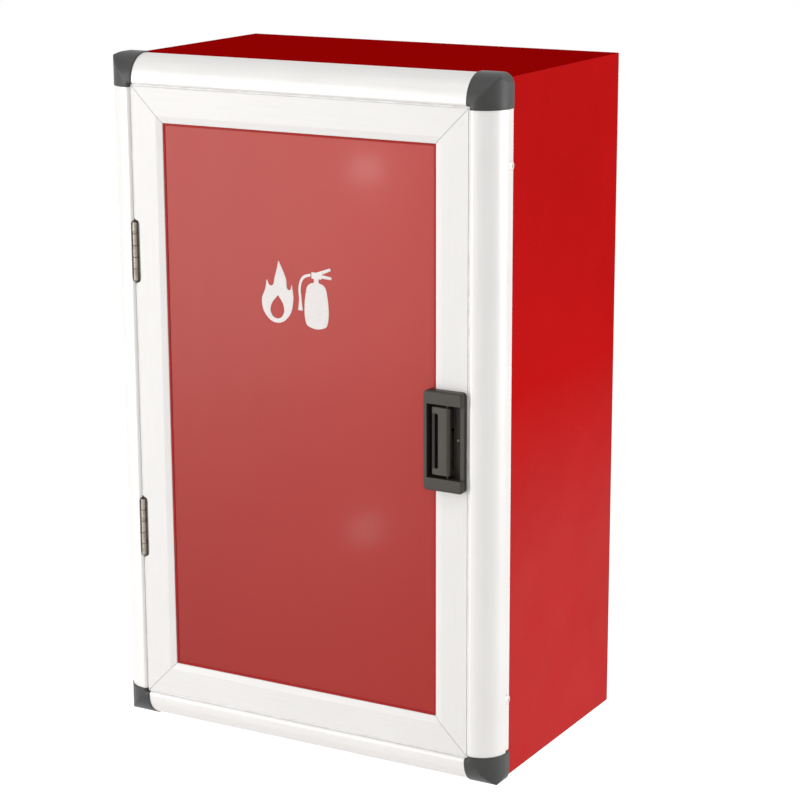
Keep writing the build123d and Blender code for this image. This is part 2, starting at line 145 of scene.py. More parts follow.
class CabinetFinishes(bpy.types.PropertyGroup):
    """Colours of the cabinet's surfaces."""

    box_red: colour("Box red", "Powder coat on the steel box", (0.51, 0.0105, 0.011))
    # The top's deeper red is painted shade: the top gets less light than the sides.
    box_top_shade_red: colour("Box top red", "Deeper red of the box's unfaded top", (0.40, 0.0010, 0.0010))
    panel_red: colour("Panel red", "Painted sheet in the door", (0.43, 0.007, 0.004))
    profile_white: colour("Profile white", "Anodised frame and door extrusions", (0.91, 0.89, 0.87))
    cap_grey: colour("Cap grey", "Corner caps", (0.037, 0.037, 0.036))
    latch_grey: colour("Latch grey", "Latch housing", (0.031, 0.027, 0.022))
    hinge_tan: colour("Hinge plating", "Plated hinge steel", (0.42, 0.37, 0.31))
    seal_black: colour("Seal black", "Foam strip behind the door", (0.018, 0.018, 0.018))
    sign_white: colour("Sign white", "Printed sign on the panel", (0.88, 0.84, 0.82))


class CabinetFittings(bpy.types.PropertyGroup):
    """Sizes of the small fittings."""

    flange_screw_radius: length("Flange screw radius", "Head radius of the flange screws", 0.0045)
    flange_screw_height: length("Flange screw height", "Head height of the flange screws", 0.0021)
    flange_screw_reach: length("Flange screw reach", "Distance of the screws from mid height", 0.245)
    hinge_screw_radius: length("Hinge screw radius", "Head radius of the leaf screws", 0.0022)
    hinge_screw_count: IntProperty(
        name="Hinge screws", description="Screws in each hinge leaf", default=3, min=2, max=5
    )
    latch_screw_radius: length("Latch screw radius", "Head radius of the latch screw", 0.0013)
    gasket_width: length("Gasket width", "Visible width of the panel's glazing gasket", 0.0022)
    gasket_height: length("Gasket height", "How far the gasket stands off the panel", 0.0006)
    edge_seal_width: length("Edge seal width", "How far the seal reaches into the door gap", 0.0019)
    edge_seal_depth: length("Edge seal depth", "Thickness of the seal in the door gap", 0.0013)
    sign_height: length("Sign height", "Height of the pictogram", 0.058)
    sign_level: FloatProperty(
        name="Sign level", description="Middle of the pictogram above mid height", default=0.117,
        unit="LENGTH"
    )
    sign_thickness: length("Sign thickness", "Thickness of the sign's film", 0.00012)


class CabinetStage(bpy.types.PropertyGroup):
    """Camera and light."""

    camera_place: FloatVectorProperty(
        name="Camera place", description="Where the camera stands", default=(1.1364, -2.0700, 0.5575),
        size=3, subtype="TRANSLATION", unit="LENGTH"
    )
    camera_azimuth: FloatProperty(
        name="Azimuth", description="Camera's turn from straight in front", default=radians(29.5),
        unit="ROTATION"
    )
    camera_elevation: FloatProperty(
        name="Elevation", description="Camera's angle above the horizon", default=radians(14.14),
        unit="ROTATION"
    )
    camera_roll: FloatProperty(
        name="Roll", description="Camera's turn about its own axis", default=radians(-0.2), unit="ROTATION"
    )
    lens: FloatProperty(name="Lens", description="Focal length in millimetres", default=108.45, min=10.0)
    floor_drop: length("Floor drop", "Floor below the cabinet", 0.45)
    room_light: FloatProperty(
        name="Room light", description="Even light from all round", default=0.48, min=0.0
    )


# Nodes


def add_node(tree, kind, inputs=None, **settings):
    """Add a shader node, set its properties, and set or link its inputs."""
    node = tree.nodes.new(kind)
    for key, value in settings.items():
        setattr(node, key, value)
    for key, value in (inputs or {}).items():
        if isinstance(value, bpy.types.NodeSocket):
            tree.links.new(value, node.inputs[key])
        else:
            node.inputs[key].default_value = value
    return node


def place(tree, scale=(1.0, 1.0, 1.0)):
    """The surface's own coordinates in metres, stretched by scale."""
    coordinates = add_node(tree, "ShaderNodeTexCoord").outputs["Object"]
    return add_node(tree, "ShaderNodeMapping", {"Vector": coordinates, "Scale": scale}).outputs["Vector"]


def noise(tree, where, scale, detail=2.0, roughness=0.5):
    """Noise between about 0.3 and 0.7."""
    inputs = {"Vector": where, "Scale": scale, "Detail": detail, "Roughness": roughness}
    return add_node(tree, "ShaderNodeTexNoise", inputs).outputs["Fac"]


def spread(tree, value, low, high, to_low, to_high):
    """Map a value from one range to another, clamped."""
    inputs = {"Value": value, "From Min": low, "From Max": high, "To Min": to_low, "To Max": to_high}
    return add_node(tree, "ShaderNodeMapRange", inputs).outputs["Result"]


def follow(tree, pattern, least, most):
    """A value that follows a noise pattern from least to most."""
    return spread(tree, pattern, 0.3, 0.7, least, most)


def clouded(tree, pattern):
    """A noise pattern stretched to fill 0 to 1."""
    return spread(tree, pattern, 0.35, 0.65, 0.0, 1.0)


def component(tree, vector, axis):
    """A vector's X, Y or Z."""
    return add_node(tree, "ShaderNodeSeparateXYZ", {"Vector": vector}).outputs[axis]


def maths(tree, operation, first, second=0.0):
    """One arithmetic node."""
    return add_node(tree, "ShaderNodeMath", {0: first, 1: second}, operation=operation).outputs["Value"]


# Sockets of a Mix node that blends colours
MIX_FACTOR = 0
MIX_FIRST = 6
MIX_SECOND = 7
MIX_RESULT = 2


def mixed(tree, factor, first, second):
    """Blend two colours, each a socket or three numbers."""
    inputs = {MIX_FACTOR: factor}
    for index, value in ((MIX_FIRST, first), (MIX_SECOND, second)):
        inputs[index] = value if isinstance(value, bpy.types.NodeSocket) else (*value, 1.0)
    return add_node(tree, "ShaderNodeMix", inputs, data_type="RGBA").outputs[MIX_RESULT]


def edge_normal(tree, radius):
    """The normal with its edges rounded over."""
    return add_node(tree, "ShaderNodeBevel", {"Radius": radius}, samples=4).outputs["Normal"]


def edge_mask(tree, rounded):
    """1 on a rounded-over edge, 0 on a flat or gently curved face."""
    own = add_node(tree, "ShaderNodeNewGeometry").outputs["Normal"]
    agreement = add_node(tree, "ShaderNodeVectorMath", {0: rounded, 1: own}, operation="DOT_PRODUCT")
    return spread(tree, agreement.outputs["Value"], 0.90, 0.995, 1.0, 0.0)


def edge_wear(tree, rounded, pattern, low, high, least, most):
    """Patchy wear on the edges: least where a pattern is at its low, most where it is at its high."""
    return maths(tree, "MULTIPLY", edge_mask(tree, rounded), spread(tree, pattern, low, high, least, most))


def tinted(base, factor):
    """A lighter or darker version of a colour."""
    return tuple(min(1.0, channel * factor) for channel in base)


def start_material(name, **constants):
    """A material with its node tree and shader, with the shader's even values set."""
    material = bpy.data.materials.new(name)
    material.use_nodes = True
    shader = material.node_tree.nodes["Principled BSDF"]
    for key, value in constants.items():
        shader.inputs[key.replace("_", " ")].default_value = value
    return material, material.node_tree, shader


def wire(tree, shader, base, roughness, height, depth, rounded):
    """Join colour, roughness and a bump of the given depth in metres to the shader."""
    bump = add_node(tree, "ShaderNodeBump", {"Height": height, "Distance": depth, "Normal": rounded})
    tree.links.new(base, shader.inputs["Base Color"])
    tree.links.new(roughness, shader.inputs["Roughness"])
    tree.links.new(bump.outputs["Normal"], shader.inputs["Normal"])


# Finishes


def powder_coat(name, red, top_shade_red):
    """Glossy powder coat: orange peel, cloudy colour, a darker top painted as shade, a pale painted floor
    reflection low down and worn folds.
    """
    material, tree, shader = start_material(
        name, Specular_IOR_Level=0.0, Specular_Tint=(1.0, 0.02, 0.02, 1.0)
    )
    where = place(tree)
    clouds = noise(tree, where, 6.0, detail=3.0)
    peel = noise(tree, where, 420.0, detail=1.0)
    chips = noise(tree, where, 160.0, detail=3.0)
    streaks = noise(tree, where, 18.0, detail=4.0)
    patches = noise(tree, where, 30.0, detail=3.0)
    rounded = edge_normal(tree, 0.0009)
    base = mixed(tree, clouded(tree, clouds), tinted(red, 0.95), tinted(red, 1.04))
    facing = add_node(tree, "ShaderNodeNewGeometry").outputs["Normal"]
    upward = component(tree, facing, "Z")
    # Painted shade: faces turned upwards take the darker top red.
    base = mixed(tree, spread(tree, upward, 0.5, 0.9, 0.0, 1.0), base, top_shade_red)
    tree.links.new(spread(tree, upward, 0.5, 0.9, 0.25, 0.0), shader.inputs["Metallic"])
    # Painted reflection: a pale haze low on the box's sides stands in for the floor reflected in the gloss.
    low_down = spread(tree, component(tree, where, "Z"), *FLOOR_REFLECTION_Z, 0.0, 0.068)
    floor_reflection = maths(tree, "MULTIPLY", low_down, spread(tree, streaks, 0.3, 0.6, 0.85, 1.0))
    base = mixed(tree, floor_reflection, base, PALE_FLOOR_REFLECTION)
    worn = edge_wear(tree, rounded, chips, 0.46, 0.60, 0.0, 0.6)
    base = mixed(tree, worn, base, tinted(red, 0.45))
    shine = maths(tree, "ADD", follow(tree, patches, 0.26, 0.36), maths(tree, "MULTIPLY", worn, 0.25))
    wire(tree, shader, base, shine, peel, 0.000015, rounded)
    return material


def anodised_profile(name, white, run_axis, sheen, mitre=False):
    """Satin extruded profile: fine die lines along its length, smudges, worn edges, mitre joints."""
    material, tree, shader = start_material(name, Metallic=sheen, Specular_IOR_Level=0.2)
    along = {"X": (0.02, 1.0, 1.0), "Z": (1.0, 1.0, 0.02)}[run_axis]
    where = place(tree)
    lines = noise(tree, place(tree, along), 900.0, detail=2.0)
    broad_lines = noise(tree, place(tree, along), 140.0, detail=2.0)
    smudges = noise(tree, where, 14.0, detail=4.0, roughness=0.6)
    nicks = noise(tree, where, 220.0, detail=2.0)
    rounded = edge_normal(tree, 0.0007)
    base = mixed(tree, clouded(tree, smudges), tinted(white, 0.975), white)
    base = mixed(tree, spread(tree, lines, 0.40, 0.70, 0.0, 0.5), base, tinted(white, 0.94))
    worn = edge_wear(tree, rounded, nicks, 0.42, 0.60, 0.15, 0.8)
    base = mixed(tree, worn, base, RUBBED_PROFILE)
    relief = maths(tree, "ADD", lines, maths(tree, "MULTIPLY", broad_lines, 1.5))
    if mitre:
        joint = mitre_joint(tree, where)
        base = mixed(tree, maths(tree, "MULTIPLY", joint, 0.5), base, JOINT_DIRT)
        relief = maths(tree, "SUBTRACT", relief, maths(tree, "MULTIPLY", joint, 6.0))
    shine = follow(tree, smudges, 0.33, 0.44)
    wire(tree, shader, base, shine, relief, 0.00002, rounded)
    return material


def mitre_joint(tree, where):
    """1 on the hairline where two door extrusions meet on the diagonal."""
    across = maths(tree, "SUBTRACT", maths(tree, "ABSOLUTE", component(tree, where, "X")), DOOR_EDGE_X)
    up = maths(tree, "SUBTRACT", maths(tree, "ABSOLUTE", component(tree, where, "Z")), DOOR_EDGE_Z)
    apart = maths(tree, "ABSOLUTE", maths(tree, "SUBTRACT", across, up))
    return spread(tree, apart, *MITRE_JOINT, 1.0, 0.0)


def painted_panel(name, red):
    """Gloss painted sheet under a clear coat: slightly wavy, wiped, and painted lighter upwards and to the
    right as light falling on it.
    """
    material, tree, shader = start_material(
        name, Specular_IOR_Level=0.34, Specular_Tint=(1.0, 0.95, 0.86, 1.0),
        Coat_Weight=0.05, Coat_Roughness=0.10
    )
    where = place(tree)
    clouds = noise(tree, where, 5.0, detail=3.0)
    wipes = noise(tree, place(tree, (1.0, 1.0, 0.12)), 60.0, detail=4.0)
    grain = noise(tree, where, 1400.0, detail=1.0)
    rounded = edge_normal(tree, 0.0005)
    # Painted light: the red grows lighter towards the top and the right, as if lit more there, with a
    # little random cloud.
    upwards = spread(tree, component(tree, where, "Z"), -PANEL_EDGE_Z, PANEL_EDGE_Z, 0.0, 0.57)
    rightwards = spread(tree, component(tree, where, "X"), -PANEL_EDGE_X, PANEL_EDGE_X, 0.0, 0.33)
    lit_gradient_and_clouds = maths(tree, "ADD", upwards, rightwards)
    lit_gradient_and_clouds = maths(tree, "ADD", lit_gradient_and_clouds, spread(tree, clouds, 0.35, 0.65, 0.0, 0.10))
    base = mixed(tree, lit_gradient_and_clouds, tinted(red, 0.75), tinted(red, 1.09))
    base = mixed(tree, spread(tree, grain, 0.45, 0.70, 0.0, 0.25), base, tinted(red, 1.25))
    worn = edge_wear(tree, rounded, clouds, 0.4, 0.6, 0.1, 0.5)
    base = mixed(tree, worn, base, tinted(red, 0.6))
    shine = follow(tree, wipes, 0.325, 0.345)
    relief = maths(tree, "ADD", maths(tree, "MULTIPLY", clouds, 3.0), grain)
    wire(tree, shader, base, shine, relief, 0.00001, rounded)
    return material


def moulded_plastic(name, grey, gloss_tint=(1.0, 1.0, 1.0), softness=0.0006, shaded_recess=False, grip_x=None):
    """Dark moulded plastic: spark-eroded grain, cloudy gloss, rubbed edges, painted shade in a recess and
    on the grip bar.
    """
    material, tree, shader = start_material(
        name, Specular_IOR_Level=0.45, Specular_Tint=(*gloss_tint, 1.0)
    )
    where = place(tree)
    grain = noise(tree, where, 1500.0, detail=2.0)
    clouds = noise(tree, where, 40.0, detail=3.0)
    rubs = noise(tree, where, 120.0, detail=3.0)
    base = mixed(tree, clouded(tree, clouds), tinted(grey, 0.85), tinted(grey, 1.12))
    rubbed = edge_wear(tree, edge_normal(tree, 0.0006), rubs, 0.35, 0.60, 0.2, 0.9)
    base = mixed(tree, rubbed, base, tinted(grey, 2.4))
    shine = maths(tree, "SUBTRACT", follow(tree, clouds, 0.40, 0.50), maths(tree, "MULTIPLY", rubbed, 0.12))
    if shaded_recess:
        # Painted shade: the plastic darkens with depth into the latch's recess.
        grime_and_shade = spread(tree, component(tree, where, "Y"), *LATCH_SHADE_Y, 0.0, 0.2)
        base = mixed(tree, grime_and_shade, base, tinted(grey, 0.2))
        shine = maths(tree, "ADD", shine, maths(tree, "MULTIPLY", grime_and_shade, 0.25))
    if grip_x is not None:
        # Painted shade on the bar left of the lever's slot, as if the bar lay deeper.
        grip_shade_amount = grip_shade(tree, where, grip_x)
        base = mixed(tree, grip_shade_amount, base, tinted(grey, 0.2))
        shine = maths(tree, "ADD", shine, maths(tree, "MULTIPLY", grip_shade_amount, 0.30))
    wire(tree, shader, base, shine, grain, 0.00004, edge_normal(tree, softness))
    return material


def grip_shade(tree, where, grip_x):
    """How far painted shade darkens the bar to the left of the lever's slot, standing in for a recessed
    bar.
    """
    beside = spread(tree, component(tree, where, "X"), grip_x, grip_x + GRIP_FADE_X, 0.75, 0.0)
    level = maths(tree, "ABSOLUTE", component(tree, where, "Z"))
    along = spread(tree, level, GRIP_HALF_HEIGHT, GRIP_HALF_HEIGHT + GRIP_FADE_Z, 1.0, 0.0)
    return maths(tree, "MULTIPLY", beside, along)


def plated_steel(name, tone, grime_and_shade=0.5, barrel=None):
    """Plated steel: scratches, dull spots, bright rubbed edges and dirt between a barrel's knuckles."""
    material, tree, shader = start_material(name, Metallic=0.65)
    where = place(tree)
    scratches = noise(tree, place(tree, (1.0, 1.0, 0.1)), 900.0, detail=2.0)
    spots = noise(tree, where, 260.0, detail=3.0)
    rounded = edge_normal(tree, 0.0004)
    base = mixed(tree, spread(tree, spots, 0.45, 0.68, 0.0, grime_and_shade), tone, tinted(tone, 0.35))
    worn = edge_wear(tree, rounded, spots, 0.3, 0.6, 0.2, 0.6)
    base = mixed(tree, worn, base, tinted(tone, 1.2))
    if barrel:
        foot, knuckle = barrel
        height = maths(tree, "SUBTRACT", component(tree, where, "Z"), foot)
        apart = maths(tree, "PINGPONG", height, knuckle / 2)
        base = mixed(tree, spread(tree, apart, *KNUCKLE_JOINT, 0.5, 0.0), base, tinted(tone, 0.12))
    shine = follow(tree, spots, 0.38, 0.56)
    wire(tree, shader, base, shine, scratches, 0.00002, rounded)
    return material


def coated_screw(name, white):
    """A screw head in the frame's own white, with its plating showing where the bit has rubbed."""
    material, tree, shader = start_material(name, Metallic=0.3)
    where = place(tree)
    speckle = noise(tree, where, 900.0, detail=3.0)
    rounded = edge_normal(tree, 0.0003)
    base = mixed(tree, clouded(tree, speckle), tinted(white, 0.86), tinted(white, 0.98))
    worn = edge_wear(tree, rounded, speckle, 0.4, 0.6, 0.2, 0.9)
    base = mixed(tree, worn, base, RUBBED_SCREW)
    shine = follow(tree, speckle, 0.28, 0.42)
    wire(tree, shader, base, shine, speckle, 0.00002, rounded)
    return material


def foam_seal(name, black):
    """Closed-cell foam strip: small cells, dull, paler where it is rubbed."""
    material, tree, shader = start_material(name, Specular_IOR_Level=0.2)
    where = place(tree)
    cells = add_node(tree, "ShaderNodeTexVoronoi", {"Vector": where, "Scale": 1100.0}).outputs["Distance"]
    clouds = noise(tree, where, 60.0, detail=3.0)
    rounded = edge_normal(tree, 0.0005)
    base = mixed(tree, clouded(tree, clouds), tinted(black, 0.8), tinted(black, 1.5))
    rubbed = edge_wear(tree, rounded, clouds, 0.3, 0.6, 0.2, 0.7)
    base = mixed(tree, rubbed, base, tinted(black, 3.0))
    shine = follow(tree, clouds, 0.75, 0.92)
    wire(tree, shader, base, shine, cells, 0.00015, rounded)
    return material


def gasket_rubber(name, tone, nicks=0.6):
    """Coloured rubber gasket: soft sheen, dusty in places, darker where it is nicked."""
    material, tree, shader = start_material(name, Specular_IOR_Level=0.25)
    where = place(tree)
    dusting = noise(tree, where, 90.0, detail=4.0)
    grain = noise(tree, where, 1600.0, detail=1.0)
    rounded = edge_normal(tree, 0.0003)
    base = mixed(tree, clouded(tree, dusting), tinted(tone, 0.9), tinted(tone, 1.1))
    nicked = edge_wear(tree, rounded, dusting, 0.5, 0.65, 0.0, nicks)
    base = mixed(tree, nicked, base, tinted(tone, 0.5))
    shine = follow(tree, dusting, 0.45, 0.62)
    wire(tree, shader, base, shine, grain, 0.00003, rounded)
    return material


def printed_film(name, white):
    """Matt printed film: slightly uneven ink with thin spots, scuffed along its edges."""
    material, tree, shader = start_material(name, Specular_IOR_Level=0.3)
    where = place(tree)
    ink = noise(tree, where, 700.0, detail=3.0)
    patches = noise(tree, where, 45.0, detail=3.0)
    rounded = edge_normal(tree, 0.0003)
    base = mixed(tree, clouded(tree, patches), tinted(white, 0.95), white)
    base = mixed(tree, spread(tree, ink, 0.60, 0.72, 0.0, 0.35), base, THIN_INK)
    scuffed = edge_wear(tree, rounded, ink, 0.4, 0.6, 0.0, 0.5)
    base = mixed(tree, scuffed, base, SCUFFED_INK)
    shine = follow(tree, patches, 0.42, 0.55)
    wire(tree, shader, base, shine, ink, 0.00001, rounded)
    return material


# Shaping by hand


def deselect():
    """Leave nothing selected."""
    bpy.ops.object.select_all(action="DESELECT")


def pick_faces(piece, chosen):
    """In edit mode, select only the faces for which chosen(normal) is true."""
    bpy.ops.mesh.select_all(action="DESELECT")
    mesh = bmesh.from_edit_mesh(piece.data)
    for face in mesh.faces:
        face.select_set(chosen(face.normal))
    bmesh.update_edit_mesh(piece.data)


def pick_edges(piece, chosen):
    """In edit mode, select only the edges for which chosen(start, end) is true."""
    bpy.ops.mesh.select_all(action="DESELECT")
    bpy.ops.mesh.select_mode(type="EDGE")
    mesh = bmesh.from_edit_mesh(piece.data)
    for edge in mesh.edges:
        edge.select_set(chosen(*(vertex.co for vertex in edge.verts)))
    bmesh.update_edit_mesh(piece.data)


def cut(piece, tool):
    """Cut a tool out of a piece and remove the tool."""
    deselect()
    bpy.context.view_layer.objects.active = piece
    piece.select_set(True)
    difference = piece.modifiers.new("cut", "BOOLEAN")
    difference.object = tool
    difference.operation = "DIFFERENCE"
    bpy.ops.object.modifier_apply(modifier=difference.name)
    bpy.data.objects.remove(tool)


def settle(piece, name, material, body, smooth_angle=30.0):
    """Apply a piece's place, shade it, name it, give it its finish and let it ride on a body."""
    deselect()
    bpy.context.view_layer.objects.active = piece
    piece.select_set(True)
    bpy.ops.object.transform_apply(location=True, rotation=True, scale=True)
    bpy.ops.object.mode_set(mode="EDIT")
    bpy.ops.mesh.select_all(action="SELECT")
    bpy.ops.mesh.normals_make_consistent(inside=False)
    bpy.ops.object.mode_set(mode="OBJECT")
    bpy.ops.object.shade_smooth_by_angle(angle=radians(smooth_angle))
    piece.name = name
    piece.data.name = name
    piece.data.materials.clear()
    piece.data.materials.append(material)
    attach(piece, body)


def another(piece):
    """A copy of a piece with a mesh of its own."""
    copy = piece.copy()
    copy.data = piece.data.copy()
    bpy.context.scene.collection.objects.link(copy)
    return copy


def screw_head(radius, height, rise=0.55):
    """A domed head with a cross recess, seated on the XY plane and facing +Z."""
    deselect()
    rim = height * (1 - rise)
    bpy.ops.mesh.primitive_cylinder_add(
        vertices=ROUND_SIDES, radius=radius, depth=rim, location=(0, 0, rim / 2), end_fill_type="NGON"
    )
    head = bpy.context.object
    bpy.ops.object.transform_apply(location=True)
    bpy.ops.object.mode_set(mode="EDIT")
    pick_faces(head, lambda normal: normal.z > 0.9)
    last_scale = 1.0
    last_rise = 0.0
    for step in range(1, DOME_STEPS + 1):
        angle = step / DOME_STEPS * pi / 2 * DOME_REACH
        level = sin(angle) * height * rise
        bpy.ops.mesh.extrude_region_move(TRANSFORM_OT_translate={"value": (0, 0, level - last_rise)})
        shrink = cos(angle) / last_scale
        bpy.ops.transform.resize(value=(shrink, shrink, 1), center_override=(0, 0, 0))
        last_scale = cos(angle)
        last_rise = level
    bpy.ops.object.mode_set(mode="OBJECT")
    for turn in (0, pi / 2):
        deselect()
        bpy.ops.mesh.primitive_cube_add(size=1, location=(0, 0, height), rotation=(0, 0, turn))
        blade = bpy.context.object
        blade.scale = (radius * RECESS_LENGTH, radius * RECESS_WIDTH, height * RECESS_HEIGHT)
        bpy.ops.object.transform_apply(location=False, rotation=True, scale=True)
        bpy.ops.object.mode_set(mode="EDIT")
        pick_faces(blade, lambda normal: normal.z < -0.9)
        bpy.ops.transform.resize(
            value=(RECESS_TAPER, RECESS_TAPER, 1), center_override=(0, 0, height / 2)
        )
        bpy.ops.object.mode_set(mode="OBJECT")
        cut(head, blade)
    return head


def seat(piece, where, facing, turn=0.0):
    """Put a piece made facing +Z on a seat that faces another way."""
    tilt = Vector((0, 0, 1)).rotation_difference(Vector(facing)).to_matrix().to_4x4()
    piece.matrix_world = Matrix.Translation(where) @ tilt @ Matrix.Rotation(turn, 4, "Z")


# Operators


class CABINET_OT_finish_metal(bpy.types.Operator):
    """Give the steel box, the frame and door extrusions and the hinges their finishes"""

    bl_idname = "cabinet.finish_metal"
    bl_label = "Finish Metal"

    def execute(self, context):
        finishes = context.scene.cabinet_finishes
        red = powder_coat("red_powder_coat", tuple(finishes.box_red), tuple(finishes.box_top_shade_red))
        white = tuple(finishes.profile_white)
        for name in ("back_panel", "left_side", "right_side", "top_panel", "bottom_panel"):
            cover(name, red)
        for axis, members in (("X", ("top", "bottom")), ("Z", ("left", "right"))):
            frame_finish = anodised_profile(f"frame_profile_{axis}", white, axis, sheen=0.2)
            door_finish = anodised_profile(f"door_profile_{axis}", white, axis, sheen=0.02, mitre=True)
            door_part = "rail" if axis == "X" else "stile"
            for member in members:
                cover(f"frame_{member}", frame_finish)
                cover(f"door_{door_part}_{member}", door_finish)
        for level in ("upper", "lower"):
            low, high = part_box(f"{level}_hinge_frame_leaf")
            barrel = (low.z, (high.z - low.z) / HINGE_KNUCKLES)
            plating = plated_steel(f"{level}_hinge_plating", tuple(finishes.hinge_tan), barrel=barrel)
            for part in ("frame_leaf", "door_leaf", "pin"):
                cover(f"{level}_hinge_{part}", plating)
        cover("lever_pin", plated_steel("blackened_pin", BLACKENED_STEEL))
        return {"FINISHED"}


class CABINET_OT_finish_mouldings(bpy.types.Operator):
    """Give the panel, the corner caps, the latch and the seal their finishes"""

    bl_idname = "cabinet.finish_mouldings"
    bl_label = "Finish Panel And Mouldings"

    def execute(self, context):
        finishes = context.scene.cabinet_finishes
        cover("door_panel", painted_panel("red_panel_paint", tuple(finishes.panel_red)))
        plastic = moulded_plastic("cap_plastic", tuple(finishes.cap_grey), softness=0.0030)
        for end in ("top", "bottom"):
            for side in ("left", "right"):
                cover(f"corner_cap_{end}_{side}", plastic)
        grey = tuple(finishes.latch_grey)
        cover("lock_housing", moulded_plastic("latch_plastic", grey, WARM_GLOSS, shaded_recess=True))
        grip_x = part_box("lock_lever")[0].x + GRIP_WIDTH
        lever = moulded_plastic("lever_plastic", tinted(grey, 1.25), WARM_GLOSS, shaded_recess=True, grip_x=grip_x)
        cover("lock_lever", lever)
        cover("door_seal", foam_seal("black_foam", tuple(finishes.seal_black)))
        return {"FINISHED"}


def cover(node, material):
    """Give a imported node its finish."""
    mesh = NODES[node].data
    mesh.materials.clear()
    mesh.materials.append(material)


class CABINET_OT_flange_screws(bpy.types.Operator):
    """Add the screws that hold the frame's lap flanges to the box"""

    bl_idname = "cabinet.flange_screws"
    bl_label = "Flange Screws"

    def execute(self, context):
        fittings = context.scene.cabinet_fittings
        white = tuple(context.scene.cabinet_finishes.profile_white)
        material = coated_screw("coated_screw_white", white)
        head = screw_head(fittings.flange_screw_radius, fittings.flange_screw_height)
        reach = fittings.flange_screw_reach
        index = 0
        for side, side_name in ((-1, "left"), (1, "right")):
            for level, level_name in ((-reach, "low"), (reach, "high")):
                screw = another(head)
                where = (side * LAP_FACE_X, LAP_MIDDLE_Y, level)
                seat(screw, where, (side, 0, 0), FLANGE_SCREW_TURNS[index])
                settle(screw, f"flange_screw_{side_name}_{level_name}", material, "cabinet")
                index += 1
        bpy.data.objects.remove(head)
        return {"FINISHED"}


class CABINET_OT_hinge_screws(bpy.types.Operator):
    """Add the flush screws in the hinge leaves"""

    bl_idname = "cabinet.hinge_screws"
    bl_label = "Hinge Screws"

    def execute(self, context):
        fittings = context.scene.cabinet_fittings
        tone = tuple(context.scene.cabinet_finishes.hinge_tan)
        material = plated_steel("leaf_screw_plating", tinted(tone, 1.15), grime_and_shade=0.3)
        head = screw_head(fittings.hinge_screw_radius, HINGE_SCREW_HEIGHT, rise=HINGE_SCREW_RISE)
        for level in ("upper", "lower"):
            for leaf, facing, body in (("frame_leaf", 1, "cabinet"), ("door_leaf", -1, "door")):
                low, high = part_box(f"{level}_hinge_{leaf}")
                middle = (low.z + high.z) / 2
                pitch = (high.z - low.z) / fittings.hinge_screw_count
                face_x = leaf_face(level, leaf, facing)
                for index in range(fittings.hinge_screw_count):
                    offset = (index - (fittings.hinge_screw_count - 1) / 2) * pitch
                    screw = another(head)
                    where = (face_x, HINGE_LEAF_SCREW_Y, middle + offset)
                    seat(screw, where, (facing, 0, 0), HINGE_SCREW_TURN * index)
                    settle(screw, f"{level}_{leaf}_screw_{index + 1}", material, body)
        bpy.data.objects.remove(head)
        return {"FINISHED"}


def leaf_face(level, leaf, facing):
    """Where a hinge leaf's flat face lies, on the side that faces the other leaf."""
    mesh = NODES[f"{level}_hinge_{leaf}"].data
    flat = [vertex.co.x for vertex in mesh.vertices if vertex.co.y > HINGE_LEAF_SCREW_Y]
    return max(flat) if facing > 0 else min(flat)


class CABINET_OT_latch_screw(bpy.types.Operator):
    """Add the screw and its near-black washer on the left slope of the latch's finger scoop; the washer is
    painted shade for the dark recess round the screw
    """

    bl_idname = "cabinet.latch_screw"
    bl_label = "Latch Screw"

    def execute(self, context):
        fittings = context.scene.cabinet_fittings
        # The screw's pinkish steel holds a painted reflection of the red around it.
        material = plated_steel("latch_screw_plating", LATCH_SCREW_STEEL_AND_REFLECTION, grime_and_shade=0.4)
        radius = fittings.latch_screw_radius
        screw = screw_head(radius, LATCH_SCREW_HEIGHT)
        seat(screw, LATCH_SCREW_SEAT, LATCH_SCREW_FACING, LATCH_SCREW_TURN)
        settle(screw, "latch_screw", material, "door")
        washer = screw_washer(radius * WASHER_HOLE, radius * WASHER_RIM, WASHER_HEIGHT)
        seat(washer, LATCH_SCREW_SEAT, LATCH_SCREW_FACING)
        # The near-black washer is painted shade for the recess round the screw.
        settle(washer, "latch_screw_washer", moulded_plastic("washer_shade_plastic", WASHER_SHADE_BLACK), "door")
        return {"FINISHED"}


def screw_washer(inner_radius, outer_radius, height):
    """A dished washer that slopes down to its hole, lying on the XY plane."""
    deselect()
    bpy.ops.mesh.primitive_cylinder_add(
        vertices=ROUND_SIDES, radius=outer_radius, depth=height, location=(0, 0, height / 2),
        end_fill_type="NGON"
    )
    washer = bpy.context.object
    bpy.ops.object.transform_apply(location=True)
    bpy.ops.object.mode_set(mode="EDIT")
    pick_faces(washer, lambda normal: abs(normal.z) > 0.9)
    bpy.ops.mesh.inset(thickness=outer_radius - inner_radius)
    bpy.ops.mesh.bridge_edge_loops()
    pick_edges(washer, lambda start, end: on_hole_rim(start, end, inner_radius, height))
    bpy.ops.mesh.bevel(offset=height * WASHER_DISH, segments=3)
    bpy.ops.object.mode_set(mode="OBJECT")
    return washer


def on_hole_rim(start, end, radius, height):
    """Whether an edge lies on the upper rim of a hole about the Z axis."""
    tiny = 0.00002
    return min(start.z, end.z) > height - tiny and max(start.xy.length, end.xy.length) < radius + tiny


